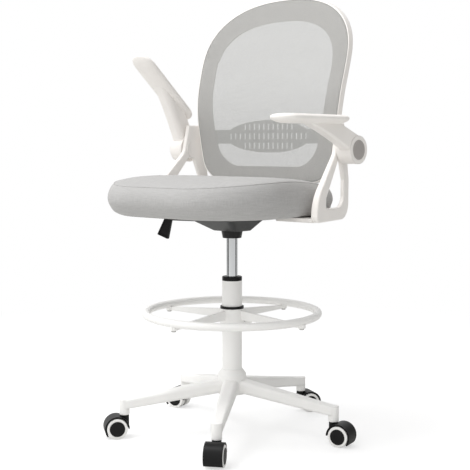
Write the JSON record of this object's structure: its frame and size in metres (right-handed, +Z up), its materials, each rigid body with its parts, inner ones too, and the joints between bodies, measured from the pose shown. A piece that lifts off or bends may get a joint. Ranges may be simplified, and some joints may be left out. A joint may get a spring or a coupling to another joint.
{
  "type": "drafting chair",
  "caption": "Tall drafting chair with padded seat, mesh back with lumbar piece, flip-up arms, gas lift, height-adjustable foot ring and swivelling casters on a star base.",
  "frame": {"origin": "on the floor under the column's axis", "axes": "+Z up along the column, the sitter faces -Y, +X to the sitter's left"},
  "size_m": [0.634, 0.5949, 1.08],
  "materials": {
    "white_nylon": "moulded, fine satin grain",
    "white_powder_coat": "satin powder coat",
    "white_pad": "soft satin skin",
    "black_plastic": "moulded, satin",
    "black_powder_coat": "satin powder coat",
    "grey_plastic": "moulded, satin",
    "dark_grey_plastic": "moulded, satin",
    "chrome_plate": "polished plating",
    "zinc_steel": "zinc plated",
    "seat_fabric": "plain linen-like weave over foam",
    "mesh_fabric": "open knit stretched over the frame",
    "plywood": "moulded plywood"
  },
  "bodies": {
    "base": {"base_star": "white_nylon", "column_tube": "white_powder_coat", "column_collar": "black_plastic", "gas_rod": "zinc_steel"},
    "foot_ring": {"foot_ring_tube": "white_powder_coat", "foot_ring_spider": "white_powder_coat", "foot_ring_screws": "zinc_steel", "foot_ring_bush": "black_plastic"},
    "clamp_knob": {"clamp_knob": "white_nylon", "clamp_stud": "zinc_steel"},
    "gas_piston": {"gas_cylinder": "chrome_plate"},
    "release_pin": {"release_pin": "zinc_steel"},
    "seat": {"mechanism_housing": "black_powder_coat", "taper_socket": "black_plastic", "lever_pin": "zinc_steel", "seat_pan": "plywood", "seat_bolts": "zinc_steel", "seat_cushion": "seat_fabric", "back_mesh": "mesh_fabric", "lumbar_support": "grey_plastic", "back_frame": "white_nylon", "back_bracket": "white_powder_coat", "back_screws": "zinc_steel", "arm_support_left": "white_nylon", "arm_support_right": "white_nylon", "arm_pin_left": "zinc_steel", "arm_pin_right": "zinc_steel"},
    "height_lever": {"lever_rod": "black_powder_coat", "lever_paddle": "black_plastic"},
    "arm_left": {"arm_link_left": "white_nylon", "arm_pad_left": "white_pad", "arm_cap_left": "dark_grey_plastic"},
    "arm_right": {"arm_link_right": "white_nylon", "arm_pad_right": "white_pad", "arm_cap_right": "dark_grey_plastic"},
    "caster_1": {"caster_1_hood": "black_plastic", "caster_1_stem": "zinc_steel"},
    "caster_1_wheels": {"caster_1_axle": "zinc_steel", "caster_1_wheels": "white_nylon", "caster_1_caps": "black_plastic"},
    "caster_2": {"caster_2_hood": "black_plastic", "caster_2_stem": "zinc_steel"},
    "caster_2_wheels": {"caster_2_axle": "zinc_steel", "caster_2_wheels": "white_nylon", "caster_2_caps": "black_plastic"},
    "caster_3": {"caster_3_hood": "black_plastic", "caster_3_stem": "zinc_steel"},
    "caster_3_wheels": {"caster_3_axle": "zinc_steel", "caster_3_wheels": "white_nylon", "caster_3_caps": "black_plastic"},
    "caster_4": {"caster_4_hood": "black_plastic", "caster_4_stem": "zinc_steel"},
    "caster_4_wheels": {"caster_4_axle": "zinc_steel", "caster_4_wheels": "white_nylon", "caster_4_caps": "black_plastic"},
    "caster_5": {"caster_5_hood": "black_plastic", "caster_5_stem": "zinc_steel"},
    "caster_5_wheels": {"caster_5_axle": "zinc_steel", "caster_5_wheels": "white_nylon", "caster_5_caps": "black_plastic"}
  },
  "joints": [
    {"name": "foot_ring_height", "type": "slide", "parent": "base", "child": "foot_ring", "axis": [0, 0, 1], "range_m": [-0.085, 0.045]},
    {"name": "clamp_knob_turn", "type": "hinge", "parent": "foot_ring", "child": "clamp_knob", "pos_m": [0, 0, 0.279], "axis": [0.7071, 0.7071, 0], "continuous": true},
    {"name": "seat_height", "type": "slide", "parent": "base", "child": "gas_piston", "axis": [0, 0, 1], "range_m": [-0.075, 0.12]},
    {"name": "release_pin_press", "type": "slide", "parent": "gas_piston", "child": "release_pin", "axis": [0, 0, -1], "range_m": [0, 0.0032]},
    {"name": "seat_swivel", "type": "hinge", "parent": "gas_piston", "child": "seat", "pos_m": [0, 0, 0.5], "axis": [0, 0, 1], "continuous": true},
    {"name": "height_lever_lift", "type": "hinge", "parent": "seat", "child": "height_lever", "pos_m": [-0.03671, -0.00983, 0.5245], "axis": [-0.2588, 0.9659, 0], "range_deg": [0, 4.5], "stiffness_Nm_per_rad": 3, "springref_deg": -5.73},
    {"name": "arm_left_flip", "type": "hinge", "parent": "seat", "child": "arm_left", "pos_m": [0.27, 0.112, 0.699], "axis": [-1, 0, 0], "range_deg": [0, 90]},
    {"name": "arm_right_flip", "type": "hinge", "parent": "seat", "child": "arm_right", "pos_m": [-0.27, 0.112, 0.699], "axis": [-1, 0, 0], "range_deg": [-41.5, 48.5]},
    {"name": "caster_1_swivel", "type": "hinge", "parent": "base", "child": "caster_1", "pos_m": [0.25568, 0.0769, 0.056], "axis": [0, 0, 1], "continuous": true},
    {"name": "caster_1_roll", "type": "hinge", "parent": "caster_1", "child": "caster_1_wheels", "pos_m": [0.27525, 0.08106, 0.025], "axis": [0.2079, -0.9781, 0], "continuous": true},
    {"name": "caster_2_swivel", "type": "hinge", "parent": "base", "child": "caster_2", "pos_m": [0.00587, 0.26693, 0.056], "axis": [0, 0, 1], "continuous": true},
    {"name": "caster_2_roll", "type": "hinge", "parent": "caster_2", "child": "caster_2_wheels", "pos_m": [0.01526, 0.28459, 0.025], "axis": [0.8829, -0.4695, 0], "continuous": true},
    {"name": "caster_3_swivel", "type": "hinge", "parent": "base", "child": "caster_3", "pos_m": [-0.25206, 0.08807, 0.056], "axis": [0, 0, 1], "continuous": true},
    {"name": "caster_3_roll", "type": "hinge", "parent": "caster_3", "child": "caster_3_wheels", "pos_m": [-0.27162, 0.08391, 0.025], "axis": [-0.2079, 0.9781, 0], "continuous": true},
    {"name": "caster_4_swivel", "type": "hinge", "parent": "base", "child": "caster_4", "pos_m": [-0.16165, -0.2125, 0.056], "axis": [0, 0, 1], "continuous": true},
    {"name": "caster_4_roll", "type": "hinge", "parent": "caster_4", "child": "caster_4_wheels", "pos_m": [-0.17312, -0.22889, 0.025], "axis": [-0.8192, 0.5736, 0], "continuous": true},
    {"name": "caster_5_swivel", "type": "hinge", "parent": "base", "child": "caster_5", "pos_m": [0.15215, -0.21941, 0.056], "axis": [0, 0, 1], "continuous": true},
    {"name": "caster_5_roll", "type": "hinge", "parent": "caster_5", "child": "caster_5_wheels", "pos_m": [0.16275, -0.23637, 0.025], "axis": [-0.848, -0.5299, 0], "continuous": true}
  ],
  "couplings": [
    {"joint": "release_pin_press", "follows": "height_lever_lift", "m_per_rad": 0.038}
  ]
}
